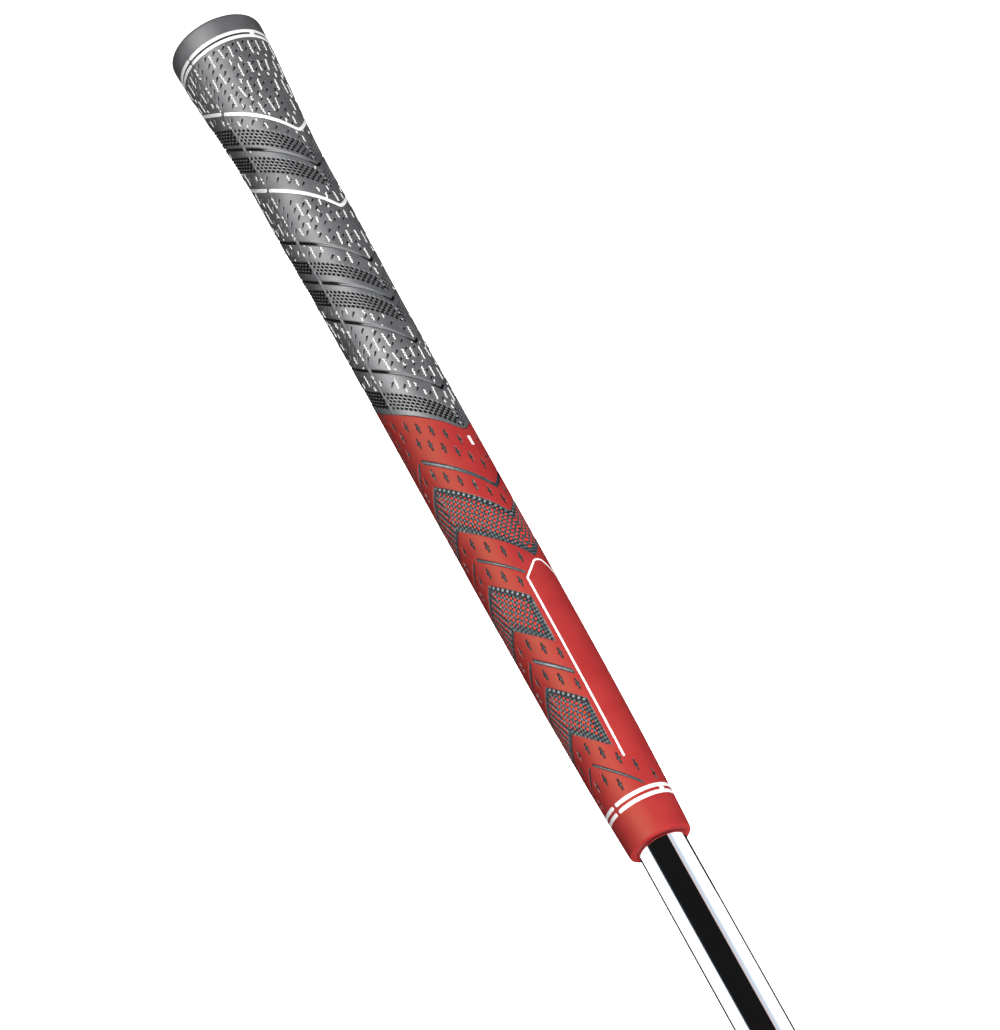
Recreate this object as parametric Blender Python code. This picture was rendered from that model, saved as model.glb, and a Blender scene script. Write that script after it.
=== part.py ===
"""Golf grip fitted to the butt end of a tubular steel club shaft.

The axis is +Z, from the butt of the grip towards its mouth, where the shaft comes out. The origin is
the centre of the butt face. The front of the grip, with the name panel, faces -Y. The two mould
parting lines run along +X and -X, and the rubber panels are split there.

Every piece is a cross-section of (radius, height) points swept round the axis.
"""

import math

import bmesh
import bpy

# Sizes in metres, angles in degrees
GRIP_LENGTH = 0.270
SHAFT_END = 0.360
GAP = 0.0002
FACET = 9
SEAM_HALF_ANGLE = 0.6

# Outer radius of the grip at heights above the butt face
OUTLINE = [
    (0.0000, 0.01325),
    (0.0004, 0.01360),
    (0.0012, 0.01378),
    (0.0085, 0.01350),
    (0.0160, 0.01300),
    (0.0280, 0.01212),
    (0.0400, 0.01138),
    (0.0500, 0.01105),
    (0.0680, 0.01098),
    (0.0850, 0.01066),
    (0.1050, 0.01042),
    (0.1300, 0.01036),
    (0.1800, 0.01024),
    (0.2200, 0.00994),
    (0.2400, 0.00960),
    (0.2580, 0.00904),
    (0.2665, 0.00858),
    (0.2690, 0.00832),
    (0.2700, 0.00790),
]

# Painted double rings: the first groove of each pair starts here
BUTT_RINGS = 0.00605
MOUTH_RINGS = 0.25760
RING_WIDTH = 0.00105
RING_PITCH = 0.00185
RING_DEPTH = 0.00025
RING_EDGE = 0.00008

# The corded upper panels end in a V: its point is on the front, its top at the back
JUNCTION_POINT = 0.1457
JUNCTION_RISE_PER_DEGREE = 0.000155
LAST_LEVEL_ROW = 0.105

UPPER_THICKNESS = 0.0013
PLY_THICKNESS = 0.00025
LOWER_THICKNESS = 0.0011
PLY_START = 0.009
PLY_CLEAR_OF_JUNCTION = 0.002

SHAFT_START = 0.008
SHAFT_BUTT_RADIUS = 0.00762
SHAFT_MOUTH_RADIUS = 0.006475
SHAFT_WALL = 0.00055
STEP_COUNT = 5
FIRST_STEP = 0.050
STEP_PITCH = 0.04445
STEP_LENGTH = 0.003

TAPE_THICKNESS = 0.00015
TAPE_END = 0.2555
TAPE_OPENING = 6

CORE_START = 0.0032
CORE_END = 0.2603
LIP_START = CORE_END + GAP

CAP_HEAD_DEPTH = 0.003
CAP_HEAD_CHAMFER = 0.0004
CAP_SPIGOT_END = SHAFT_START - 0.0004
CAP_RECESS_INNER = 0.0076
CAP_RECESS_OUTER = 0.0084
CAP_RECESS_DEPTH = 0.0004
VENT_RADIUS = 0.0015

GREY_RUBBER = (0.235, 0.240, 0.255)
DARK_RUBBER = (0.030, 0.055, 0.060)
RED_RUBBER = (0.560, 0.050, 0.050)
CORD_WHITE = (0.780, 0.780, 0.740)
TAPE_CREAM = (0.600, 0.550, 0.430)
STEEL = (0.800, 0.810, 0.820)


def clear_scene():
    for obj in list(bpy.data.objects):
        bpy.data.objects.remove(obj)


def material(name, colour, roughness, metallic=0.0):
    made = bpy.data.materials.new(name)
    made.use_nodes = True
    shader = made.node_tree.nodes["Principled BSDF"]
    shader.inputs["Base Color"].default_value = (*colour, 1.0)
    shader.inputs["Roughness"].default_value = roughness
    shader.inputs["Metallic"].default_value = metallic
    made.diffuse_color = (*colour, 1.0)
    return made


def between(points, height):
    """The radius at a height, on straight lines between (height, radius) points."""
    for (low, first), (high, second) in zip(points, points[1:]):
        if height <= high:
            share = (height - low) / (high - low)
            return first + share * (second - first)
    return points[-1][1]


def outer(height):
    return between(OUTLINE, height)


def step_down(count):
    """The shaft's radius after that many steps."""
    return SHAFT_BUTT_RADIUS - count * (SHAFT_BUTT_RADIUS - SHAFT_MOUTH_RADIUS) / STEP_COUNT


def shaft_envelope():
    """(height, radius) points of the cone that just holds the stepped shaft."""
    last_step = FIRST_STEP + STEP_COUNT * STEP_PITCH
    return [
        (SHAFT_START, SHAFT_BUTT_RADIUS),
        (FIRST_STEP, SHAFT_BUTT_RADIUS),
        (last_step, SHAFT_MOUTH_RADIUS),
        (SHAFT_END, SHAFT_MOUTH_RADIUS),
    ]


def bore(height):
    """The radius of the grip's bore, outside the shaft and its tape."""
    start = max(height, SHAFT_START)
    return between(shaft_envelope(), start) + TAPE_THICKNESS + 2 * GAP


def junction(angle):
    """The height where the upper panel meets the lower one. The angle is from the front."""
    return JUNCTION_POINT - JUNCTION_RISE_PER_DEGREE * abs(angle)


def core_outer(height):
    """The core fills up to the cord ply above the junction's lowest edge, and to the panel below it."""
    under_ply = outer(height) - UPPER_THICKNESS - PLY_THICKNESS - 2 * GAP
    under_panel = outer(height) - LOWER_THICKNESS - GAP
    return min(under_ply, under_panel) if height < JUNCTION_POINT else under_panel


def ring_grooves(start):
    """(height, depth) rows across a pair of painted grooves."""
    rows = []
    for number in range(2):
        low = start + number * RING_PITCH
        high = low + RING_WIDTH
        rows += [
            (low, 0.0),
            (low + RING_EDGE, RING_DEPTH),
            (high - RING_EDGE, RING_DEPTH),
            (high, 0.0),
        ]
    return rows


def skin_rows(low, high, rings):
    """(radius, height) points of the grip's outer skin between two heights, with one pair of rings."""
    rows = [(height, 0.0) for height, _ in OUTLINE if low <= height <= high]
    grooves = ring_grooves(rings)
    first, last = grooves[0][0], grooves[-1][0]
    rows = [row for row in rows if not first <= row[0] <= last]
    return [(outer(height) - depth, height) for height, depth in sorted(rows + grooves)]


def sweep(name, finish, angles, section, closed=False):
    """A solid through the cross-section at each angle. Angle 0 faces -Y and 90 faces +X."""
    mesh = bmesh.new()
    loops = []
    for angle in angles:
        turn = math.radians(angle)
        loops.append(
            [
                mesh.verts.new((radius * math.sin(turn), -radius * math.cos(turn), height))
                for radius, height in section(angle)
            ]
        )
    pairs = list(zip(loops, loops[1:]))
    if closed:
        pairs.append((loops[-1], loops[0]))
    for left, right in pairs:
        for index in range(len(left)):
            after = (index + 1) % len(left)
            mesh.faces.new((left[index], right[index], right[after], left[after]))
    if not closed:
        mesh.faces.new(loops[0])
        mesh.faces.new(loops[-1])
    bmesh.ops.recalc_face_normals(mesh, faces=mesh.faces)
    data = bpy.data.meshes.new(name)
    mesh.to_mesh(data)
    mesh.free()
    data.shade_smooth()
    data.set_sharp_from_angle(angle=math.radians(35))
    data.materials.append(finish)
    made = bpy.data.objects.new(name, data)
    bpy.context.scene.collection.objects.link(made)
    return made


def full_turn():
    return [FACET * number for number in range(360 // FACET)]


def half_turn(middle, edge=SEAM_HALF_ANGLE):
    """Angles across one half of the grip, stopping just short of both parting lines."""
    inner = [FACET * number for number in range(-90 // FACET + 1, 90 // FACET)]
    return [middle + angle for angle in [-90 + edge, *inner, 90 - edge]]


def from_front(angle):
    """The same angle measured the short way from the front, 0 to 180."""
    return abs((angle + 180) % 360 - 180)


def upper_panel(name, middle, finish):
    """Half of the corded skin. Its butt end leaves room for the cap's head."""
    level = skin_rows(0.0, LAST_LEVEL_ROW, BUTT_RINGS)
    inside = [(outer(h) - UPPER_THICKNESS, h) for h in (LAST_LEVEL_ROW, 0.068, 0.040, 0.016)]
    neck = outer(BUTT_RINGS) - UPPER_THICKNESS

    def section(angle):
        end = junction(from_front(angle)) - GAP / 2
        tip = [(outer(end), end), (outer(end) - UPPER_THICKNESS, end)]
        return [*level, *tip, *inside, (neck, BUTT_RINGS), (neck, 0.0)]

    return sweep(name, finish, half_turn(middle), section)


def cord_ply(name, middle, finish):
    """Half of the woven cotton layer that is bonded behind the corded skin."""
    heights = [PLY_START, 0.016, 0.028, 0.040, 0.068, LAST_LEVEL_ROW]

    def radius(height):
        return outer(height) - UPPER_THICKNESS - GAP - PLY_THICKNESS

    def section(angle):
        end = junction(from_front(angle)) - PLY_CLEAR_OF_JUNCTION
        rising = [(radius(h) + PLY_THICKNESS, h) for h in [*heights, end]]
        falling = [(radius(h), h) for h in [end, *reversed(heights)]]
        return rising + falling

    return sweep(name, finish, half_turn(middle), section)


def lower_panel(name, middle, finish):
    """Half of the red skin. Past the core's end it thickens to the mouth's lip round the shaft."""
    level = skin_rows(JUNCTION_POINT + GAP, GRIP_LENGTH, MOUTH_RINGS)
    lip = SHAFT_MOUTH_RADIUS + GAP
    shoulder = outer(LIP_START) - LOWER_THICKNESS
    inside = [(outer(h) - LOWER_THICKNESS, h) for h in (0.240, 0.220, 0.180)]

    def section(angle):
        start = junction(from_front(angle)) + GAP / 2
        tip = [(outer(start) - LOWER_THICKNESS, start), (outer(start), start)]
        return [*tip, *level, (lip, GRIP_LENGTH), (lip, LIP_START), (shoulder, LIP_START), *inside]

    return sweep(name, finish, half_turn(middle), section)


def core_sleeve(finish):
    """The inner tube of dark rubber that the panels are moulded onto."""
    outside = [CORE_START, 0.0085, 0.016, 0.028, 0.040, 0.068, 0.105, JUNCTION_POINT - 0.0004]
    outside += [JUNCTION_POINT, 0.180, 0.220, 0.240, CORE_END]
    inside = [CORE_END, FIRST_STEP, CORE_START]
    points = [(core_outer(h), h) for h in outside] + [(bore(h), h) for h in inside]
    return sweep("core_sleeve", finish, full_turn(), lambda angle: points, closed=True)


def butt_cap(finish):
    """The moulded plug: a head sunk in the butt, a spigot in the bore, and a vent hole."""
    head = outer(BUTT_RINGS) - UPPER_THICKNESS - GAP
    spigot = bore(0.0) - GAP
    points = [
        (VENT_RADIUS, 0.0),
        (CAP_RECESS_INNER, 0.0),
        (CAP_RECESS_INNER, CAP_RECESS_DEPTH),
        (CAP_RECESS_OUTER, CAP_RECESS_DEPTH),
        (CAP_RECESS_OUTER, 0.0),
        (head - CAP_HEAD_CHAMFER, 0.0),
        (head, CAP_HEAD_CHAMFER),
        (head, CAP_HEAD_DEPTH),
        (spigot, CAP_HEAD_DEPTH),
        (spigot, CAP_SPIGOT_END - CAP_HEAD_CHAMFER),
        (spigot - CAP_HEAD_CHAMFER, CAP_SPIGOT_END),
        (VENT_RADIUS, CAP_SPIGOT_END),
    ]
    return sweep("butt_cap", finish, full_turn(), lambda angle: points, closed=True)


def grip_tape(finish):
    """Double-sided tape laid lengthwise on the shaft, with its edges not quite meeting."""
    heights = [SHAFT_START, FIRST_STEP, TAPE_END]
    rising = [(bore(h) - GAP, h) for h in heights]
    falling = [(bore(h) - GAP - TAPE_THICKNESS, h) for h in reversed(heights)]
    angles = [180 + TAPE_OPENING + FACET * n for n in range((360 - 2 * TAPE_OPENING) // FACET)]
    angles.append(540 - TAPE_OPENING)
    return sweep("grip_tape", finish, angles, lambda angle: rising + falling)


def shaft(finish):
    """The steel tube: straight lengths with short cones between them, and one wall thickness."""
    heights = [(SHAFT_START, SHAFT_BUTT_RADIUS)]
    for number in range(STEP_COUNT):
        start = FIRST_STEP + number * STEP_PITCH
        heights.append((start, step_down(number)))
        heights.append((start + STEP_LENGTH, step_down(number + 1)))
    heights.append((SHAFT_END, SHAFT_MOUTH_RADIUS))
    rising = [(radius, height) for height, radius in heights]
    falling = [(radius - SHAFT_WALL, height) for radius, height in reversed(rising)]
    return sweep("shaft", finish, full_turn(), lambda angle: rising + falling, closed=True)


def main():
    clear_scene()
    grey = material("grey_corded_rubber", GREY_RUBBER, 0.6)
    red = material("red_rubber", RED_RUBBER, 0.5)
    dark = material("dark_core_rubber", DARK_RUBBER, 0.7)
    cap = material("cap_rubber", GREY_RUBBER, 0.55)
    cotton = material("cotton_cord", CORD_WHITE, 0.9)
    tape = material("tape", TAPE_CREAM, 0.8)
    chrome = material("shaft_chrome", STEEL, 0.08, metallic=1.0)
    butt_cap(cap)
    core_sleeve(dark)
    for side, middle in (("front", 0), ("back", 180)):
        upper_panel(f"upper_panel_{side}", middle, grey)
        cord_ply(f"cord_ply_{side}", middle, cotton)
        lower_panel(f"lower_panel_{side}", middle, red)
    grip_tape(tape)
    shaft(chrome)


main()
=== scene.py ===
"""Looks of the golf grip: moulded skins, paint, cotton cord, cap and shaft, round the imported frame.

Lengths are in millimetres until a mesh is written, and in metres for the camera and the lights.
Angles are in degrees round the +Z axis, 0 at the front (-Y) and 90 at +X.
"""

import math

import bpy
import numpy as np
from mathutils import Matrix, Vector

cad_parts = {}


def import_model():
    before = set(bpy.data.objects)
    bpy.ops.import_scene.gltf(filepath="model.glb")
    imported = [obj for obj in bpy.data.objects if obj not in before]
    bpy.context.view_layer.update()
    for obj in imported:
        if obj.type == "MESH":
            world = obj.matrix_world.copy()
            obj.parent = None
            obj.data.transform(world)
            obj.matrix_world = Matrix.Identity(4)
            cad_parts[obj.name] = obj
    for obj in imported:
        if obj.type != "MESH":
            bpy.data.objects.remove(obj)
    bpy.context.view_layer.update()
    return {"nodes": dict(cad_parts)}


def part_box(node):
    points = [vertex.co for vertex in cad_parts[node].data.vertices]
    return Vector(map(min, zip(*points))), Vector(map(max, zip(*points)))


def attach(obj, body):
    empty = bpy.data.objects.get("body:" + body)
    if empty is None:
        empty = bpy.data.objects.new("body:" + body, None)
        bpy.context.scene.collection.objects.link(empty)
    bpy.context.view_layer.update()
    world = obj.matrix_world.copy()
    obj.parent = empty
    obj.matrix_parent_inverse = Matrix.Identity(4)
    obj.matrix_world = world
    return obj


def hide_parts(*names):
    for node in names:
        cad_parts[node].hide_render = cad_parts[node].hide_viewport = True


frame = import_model()

MM = 0.001
BODY = "root"
GRIP_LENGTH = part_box("lower_panel_front")[1].z / MM
SHAFT_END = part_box("shaft")[1].z / MM
SHAFT_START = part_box("shaft")[0].z / MM

# Outer radius of the grip at heights above the butt face, as in the CAD model
OUTLINE = [
    (0.0, 13.40),
    (0.3, 13.68),
    (1.0, 13.78),
    (8.5, 13.50),
    (16.0, 13.00),
    (28.0, 12.12),
    (40.0, 11.38),
    (50.0, 11.05),
    (68.0, 10.98),
    (85.0, 10.66),
    (105.0, 10.42),
    (130.0, 10.36),
    (180.0, 10.24),
    (220.0, 9.94),
    (240.0, 9.60),
    (258.0, 9.04),
    (266.5, 8.68),
    (269.55, 8.52),
    (270.0, 8.15),
]

# The corded skin ends in a V whose point is on the front. A dark line shows along the joint
JUNCTION_POINT = 145.7
JUNCTION_RISE = 0.155
JUNCTION_LINE = 0.22

# The skins' grids, and how far a skin turns in at its ends
COLUMN_SPACING = 0.125
ROW_SPACING = 0.2
GRID_RADIUS = 11.0
UNDERCUT_RADIUS = 9.3
CAP_POCKET = (12.45, 3.0)
LIP_RADIUS = 6.56
LIP_DEPTH = 8.0

# Slanted lines run down from the back to a point on the front: (height at the front, rise per degree)
CHEVRONS = [(42.1, 0.172), (69.5, 0.166)]
CHEVRON_HALF_WIDTH = 0.52
CHEVRON_ROUNDING = 5.0
GROOVE_HALF_WIDTH = 0.46
UPPER_GROOVES = [(54.5, 0.166), (88.4, 0.165), (102.0, 0.161), (116.6, 0.172), (132.4, 0.158)]
# Knurled bands: (top and bottom height at the front, rise per degree)
UPPER_KNURLS = [
    (47.0, 52.5, 0.164),
    (56.9, 62.5, 0.162),
    (94.6, 99.6, 0.161),
    (104.2, 109.8, 0.156),
    (139.6, 145.6, 0.157),
]
# Single rows of slits that follow the slanted lines
SLIT_ROWS = [(45.0, 0.175), (65.6, 0.169), (92.3, 0.165), (113.0, 0.166), (136.6, 0.157)]
SLIT_COLUMNS_BUTT = 28
SLIT_COLUMNS = 24
# Fields of level slit rows: (first row, row pitch, columns, line above, line below)
SLIT_FIELDS = [
    (10.15, 2.42, SLIT_COLUMNS_BUTT, None, CHEVRONS[0]),
    (57.1, 2.70, SLIT_COLUMNS, CHEVRONS[1], UPPER_GROOVES[1]),
    (102.3, 2.62, SLIT_COLUMNS, UPPER_GROOVES[3], UPPER_GROOVES[4]),
]
SLIT_CLEARANCE = 1.75
# The hatching's lattice: degrees from pit to pit and from row to row, and the rows' height
PIT_STEP = 5.75
PIT_STAGGER = 3.6
PIT_ROW_PITCH = 1.15

# The lower skin repeats every RED_PITCH from its first groove, and folds at the seams
RED_PITCH = 32.1
RED_FIRST = 148.8
RED_RISE = 0.180
# For each repeat, on the front: the groove's reach in degrees and half width, the slots in the row
# under it, and the slots in the row above the next groove, if there is one
RED_REPEATS = [(90.0, 0.52, 6, 4), (58.0, 0.38, 3, 3), (48.5, 0.52, 3, 3), (61.5, 0.34, 2, 0)]
SLOTS_FROM_GROOVE = 4.0
SLOTS_ABOVE_NEXT = 26.7
WINDOW_FROM_GROOVE = 8.3
WINDOW_DEPTH = 14.6
WINDOW_SIDE = 7.1
# The knobs in the windows: degrees from column to column, height from row to row, how many degrees
# a leaning column moves in a row, and the windows' floor
KNOB_COLUMN_PITCH = 360.0 / 82
KNOB_ROW_PITCH = 1.06
KNOB_LEAN = 2.75
KNOB_FLOOR = -0.42
# Staggered slots on the back: pitches in height and degrees, and the first slot's place
BACK_SLOT_PITCH = (9.4, 18.7)
BACK_SLOT_FIRST = (144.6, 102.5)
BACK_SLOT_STAGGER = (4.7, 5.7)
BACK_SLOT_CLEARANCE = 2.4
NAME_HALF_WIDTH = 5.63
NAME_TOP = 188.75
NAME_END = 248.2
NAME_LINE_HALF_WIDTH = 0.29

BUTT_RINGS = (5.98, 7.72)
MOUTH_RINGS = (257.5, 259.4)
RING_WIDTH = 1.05
BRIDGE_WIDTH = 1.7
MARKER = [(0.0, 148.2), (0.0, 151.3)]
MARKER_HALF_WIDTH = 0.55
PAINT_RISE = 0.035
PAINT_SINK = 0.12
# Recesses are cut this much narrower than the paint in them, so that it covers their edges
PAINT_OVERLAP = 0.02

# Exposed cotton: the pitch of long threads, and the lengths of long and short ones
COTTON_FIRST = 9.9
COTTON_PITCH = 6.75
COTTON_OFFSET = 4.6
LONG_THREAD = (3.2, 4.6)
SHORT_THREAD = (0.7, 1.7)

CAMERA_AZIMUTH = 51.2
CARD_HEIGHTS = (-1600.0, 2400.0)
WHITE = (1.0, 1.0, 1.0)
rng = np.random.default_rng(7)


# ---- shape helpers


def smooth(low, high, x):
    t = np.clip((x - low) / (high - low), 0.0, 1.0)
    return t * t * (3.0 - 2.0 * t)


def hermite_slopes(xs, ys):
    """Slopes of a smooth curve through the points that never overshoots them."""
    steps = np.diff(ys) / np.diff(xs)
    slopes = np.zeros(len(xs))
    slopes[0], slopes[-1] = steps[0], steps[-1]
    same = steps[:-1] * steps[1:] > 0
    slopes[1:-1][same] = 2.0 / (1.0 / steps[:-1][same] + 1.0 / steps[1:][same])
    return slopes


OUTLINE_Z, OUTLINE_R = np.array(OUTLINE).T
OUTLINE_SLOPES = hermite_slopes(OUTLINE_Z, OUTLINE_R)


def radius_at(z):
    """The grip's smooth outer radius at a height."""
    z = np.clip(z, OUTLINE_Z[0], OUTLINE_Z[-1])
    i = np.clip(np.searchsorted(OUTLINE_Z, z, side="right") - 1, 0, len(OUTLINE_Z) - 2)
    span = OUTLINE_Z[i + 1] - OUTLINE_Z[i]
    t = (z - OUTLINE_Z[i]) / span
    return (
        (2 * t**3 - 3 * t**2 + 1) * OUTLINE_R[i]
        + (t**3 - 2 * t**2 + t) * span * OUTLINE_SLOPES[i]
        + (3 * t**2 - 2 * t**3) * OUTLINE_R[i + 1]
        + (t**3 - t**2) * span * OUTLINE_SLOPES[i + 1]
    )


def degree_at(z):
    """The length of one degree round the grip at a height."""
    return radius_at(z) * math.pi / 180.0


def from_front(angle):
    """The angle from the front, 0 to 180, whichever way round."""
    return np.abs((angle + 180.0) % 360.0 - 180.0)


def soft_v(w, rounding):
    """The angle from the front with its two turning points, front and back, rounded off."""
    w = np.sqrt(w**2 + rounding**2)
    return 180.0 - np.sqrt((180.0 - w) ** 2 + rounding**2)


def junction_at(w):
    """Height at which the corded skin gives way to the red one."""
    return JUNCTION_POINT + 1.2 - JUNCTION_RISE * soft_v(w, 8.0)


def place(angle, radius, z):
    """Points in metres from degrees, and a radius and height in millimetres."""
    turn = np.radians(angle)
    points = np.stack([radius * np.sin(turn), -radius * np.cos(turn), z + 0 * turn], axis=-1)
    return points * MM


def add_object(name, data):
    made = bpy.data.objects.new(name, data)
    bpy.context.scene.collection.objects.link(made)
    return made


def mesh_object(name, points, quads, materials, attributes=None, smooth_angle=None):
    mesh = bpy.data.meshes.new(name)
    points = np.ascontiguousarray(points.reshape(-1, 3), np.float32)
    quads = np.ascontiguousarray(quads.reshape(-1, 4), np.int32)
    mesh.vertices.add(len(points))
    mesh.vertices.foreach_set("co", points.ravel())
    mesh.loops.add(quads.size)
    mesh.loops.foreach_set("vertex_index", quads.ravel())
    mesh.polygons.add(len(quads))
    mesh.polygons.foreach_set("loop_start", np.arange(0, quads.size, 4, dtype=np.int32))
    mesh.update(calc_edges=True)
    mesh.shade_smooth()
    if smooth_angle is not None:
        mesh.set_sharp_from_angle(angle=math.radians(smooth_angle))
    for attribute, values in (attributes or {}).items():
        made = mesh.attributes.new(attribute, "FLOAT", "POINT")
        made.data.foreach_set("value", np.ascontiguousarray(values.ravel(), np.float32))
    for material in materials:
        mesh.materials.append(material)
    mesh.validate()
    return add_object(name, mesh)


def grid_quads(rows, columns, wrap_rows=False, wrap_columns=False):
    """Quads of a grid of points, wound so that they face out where columns turn with the angle."""
    i = np.arange(rows if wrap_rows else rows - 1)[:, None]
    j = np.arange(columns if wrap_columns else columns - 1)[None, :]
    up, right = (i + 1) % rows, (j + 1) % columns
    corners = (i * columns + j, i * columns + right, up * columns + right, up * columns + j)
    return np.stack(np.broadcast_arrays(*corners), axis=-1).reshape(-1, 4)


def adopt(obj, slot, *nodes):
    """The piece rides on the one body, and may stand for CAD nodes, which it hides. slot is not used.
    """
    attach(obj, BODY)
    if nodes:
        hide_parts(*nodes)
    return obj


# ---- materials


class Nodes:
    """A short way to write a shader tree round one Principled shader."""

    def __init__(self, name):
        self.material = bpy.data.materials.new(name)
        self.material.use_nodes = True
        self.tree = self.material.node_tree
        self.shader = self.tree.nodes["Principled BSDF"]
        self.place = self.add("ShaderNodeTexCoord").outputs["Object"]

    def add(self, kind, **values):
        node = self.tree.nodes.new(kind)
        for key, value in values.items():
            setattr(node, key, value)
        return node

    def link(self, source, target):
        self.tree.links.new(source, target)

    def feed(self, target, value):
        if isinstance(value, bpy.types.NodeSocket):
            self.link(value, target)
        else:
            target.default_value = (*value, 1.0) if isinstance(value, tuple) else value

    def attribute(self, name):
        return self.add("ShaderNodeAttribute", attribute_name=name).outputs["Fac"]

    def stretched(self, scale):
        node = self.add("ShaderNodeMapping")
        self.link(self.place, node.inputs["Vector"])
        node.inputs["Scale"].default_value = scale
        return node.outputs["Vector"]

    def noise(self, scale, detail, vector=None):
        node = self.add("ShaderNodeTexNoise")
        self.link(vector or self.place, node.inputs["Vector"])
        node.inputs["Scale"].default_value = scale
        node.inputs["Detail"].default_value = detail
        node.inputs["Roughness"].default_value = 0.55
        return node.outputs["Fac"]

    def map(self, value, low, high, to_low=0.0, to_high=1.0):
        node = self.add("ShaderNodeMapRange", interpolation_type="SMOOTHSTEP")
        self.feed(node.inputs["Value"], value)
        sockets = ("From Min", "From Max", "To Min", "To Max")
        for socket, number in zip(sockets, (low, high, to_low, to_high)):
            node.inputs[socket].default_value = number
        return node.outputs["Result"]

    def math(self, operation, a, b=0.0):
        node = self.add("ShaderNodeMath", operation=operation)
        self.feed(node.inputs[0], a)
        self.feed(node.inputs[1], b)
        return node.outputs["Value"]

    def mix(self, factor, a, b):
        node = self.add("ShaderNodeMix", data_type="RGBA")
        self.feed(node.inputs["Factor"], factor)
        self.feed(node.inputs[6], a)
        self.feed(node.inputs[7], b)
        return node.outputs[2]

    def bump(self, height, strength, distance):
        node = self.add("ShaderNodeBump")
        self.link(height, node.inputs["Height"])
        node.inputs["Strength"].default_value = strength
        node.inputs["Distance"].default_value = distance
        self.link(node.outputs["Normal"], self.shader.inputs["Normal"])

    def finish(self, colour, roughness, **sockets):
        self.feed(self.shader.inputs["Base Color"], colour)
        self.feed(self.shader.inputs["Roughness"], roughness)
        for name, value in sockets.items():
            self.shader.inputs[name.replace("_", " ")].default_value = value
        return self.material


def rubber_grain(nodes):
    """Fine moulded grain with faint buffing streaks along the grip."""
    grain = nodes.noise(2600.0, 3.0)
    streaks = nodes.noise(1.0, 2.0, nodes.stretched((900.0, 900.0, 110.0)))
    return nodes.math("ADD", grain, nodes.math("MULTIPLY", streaks, 0.8))


def corded_rubber(name, level):
    nodes = Nodes(name)
    grain = rubber_grain(nodes)
    clouds = nodes.noise(160.0, 4.0)
    body = nodes.mix(nodes.map(clouds, 0.3, 0.7), (0.086, 0.088, 0.093), (0.112, 0.114, 0.120))
    speck = nodes.map(nodes.noise(1500.0, 2.0), 0.62, 0.72)
    body = nodes.mix(nodes.math("MULTIPLY", speck, 0.25), body, (0.34, 0.34, 0.35))
    # Ridge tops lighter: partly buffed pale rubber, partly a painted highlight
    body = nodes.mix(nodes.map(nodes.attribute("knob"), 0.2, 0.8), body, (0.36, 0.36, 0.37))
    # Hollows go nearly black: their dark fill, deepened by painted shade
    pit = nodes.map(nodes.attribute("pit"), 0.08, 0.6)
    body = nodes.mix(pit, body, (0.004, 0.004, 0.005))
    nodes.bump(grain, 0.25, 0.00008)
    roughness = nodes.map(clouds, 0.3, 0.7, 0.42, 0.52)
    roughness = nodes.math("ADD", roughness, nodes.math("MULTIPLY", pit, 0.45))
    return nodes.finish(body, roughness, Specular_IOR_Level=level)


def red_rubber(name, level, rough, tint):
    """Red skin where the core attribute is low, and the dark core where it is high."""
    nodes = Nodes(name)
    grain = rubber_grain(nodes)
    clouds = nodes.noise(130.0, 4.0)
    red = nodes.mix(nodes.map(clouds, 0.3, 0.7), (0.336, 0.024, 0.026), (0.374, 0.031, 0.032))
    knob = nodes.attribute("knob")
    # Painted highlight: the red domes grow lighter towards their tops
    red = nodes.mix(nodes.map(knob, 0.1, 0.7), red, (0.60, 0.035, 0.024))
    mottle = nodes.map(nodes.noise(1100.0, 3.0), 0.35, 0.65)
    teal = nodes.mix(mottle, (0.030, 0.052, 0.057), (0.058, 0.088, 0.095))
    grey = nodes.mix(mottle, (0.040, 0.054, 0.060), (0.088, 0.106, 0.114))
    pit = nodes.attribute("pit")
    # Painted shade: deep hollows, slot walls and the floor between the domes go nearly black
    deep = nodes.math("MULTIPLY", nodes.map(pit, 0.25, 0.9), 0.92)
    teal = nodes.mix(deep, teal, (0.003, 0.008, 0.010))
    # The knobs are grey over the teal floor and lighter towards their tops as a painted highlight; the
    # large first row is lightened most
    core = nodes.mix(nodes.map(knob, 0.1, 0.7), teal, grey)
    core = nodes.mix(nodes.map(knob, 0.75, 1.0), core, (0.19, 0.215, 0.225))
    colour = nodes.mix(nodes.map(nodes.attribute("core"), -0.03, 0.03), red, core)
    nodes.bump(grain, 0.2, 0.00006)
    roughness = nodes.map(clouds, 0.3, 0.7, rough - 0.05, rough + 0.05)
    roughness = nodes.math("ADD", roughness, nodes.map(pit, 0.3, 0.9, 0.0, 0.3))
    return nodes.finish(colour, roughness, Specular_IOR_Level=level, Specular_Tint=(*tint, 1.0))


def plain_rubber(name, low, high, rough):
    nodes = Nodes(name)
    grain = rubber_grain(nodes)
    colour = nodes.mix(nodes.map(nodes.noise(220.0, 4.0), 0.3, 0.7), low, high)
    nodes.bump(grain, 0.22, 0.00006)
    return nodes.finish(colour, nodes.map(grain, 0.4, 1.3, rough - 0.05, rough + 0.06))


def paint_white():
    nodes = Nodes("paint_white")
    wear = nodes.noise(1200.0, 3.0)
    colour = nodes.mix(nodes.map(wear, 0.35, 0.8), (0.93, 0.93, 0.93), (0.84, 0.84, 0.85))
    nodes.bump(wear, 0.12, 0.00004)
    return nodes.finish(colour, nodes.map(wear, 0.3, 0.7, 0.36, 0.48))


def cotton():
    nodes = Nodes("cotton_cord")
    strands = nodes.noise(1.0, 3.0, nodes.stretched((9000.0, 9000.0, 1800.0)))
    colour = nodes.mix(nodes.map(strands, 0.3, 0.7), (0.72, 0.72, 0.70), (0.92, 0.92, 0.90))
    nodes.bump(strands, 0.5, 0.00006)
    return nodes.finish(colour, nodes.map(strands, 0.3, 0.7, 0.8, 0.95))


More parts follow.
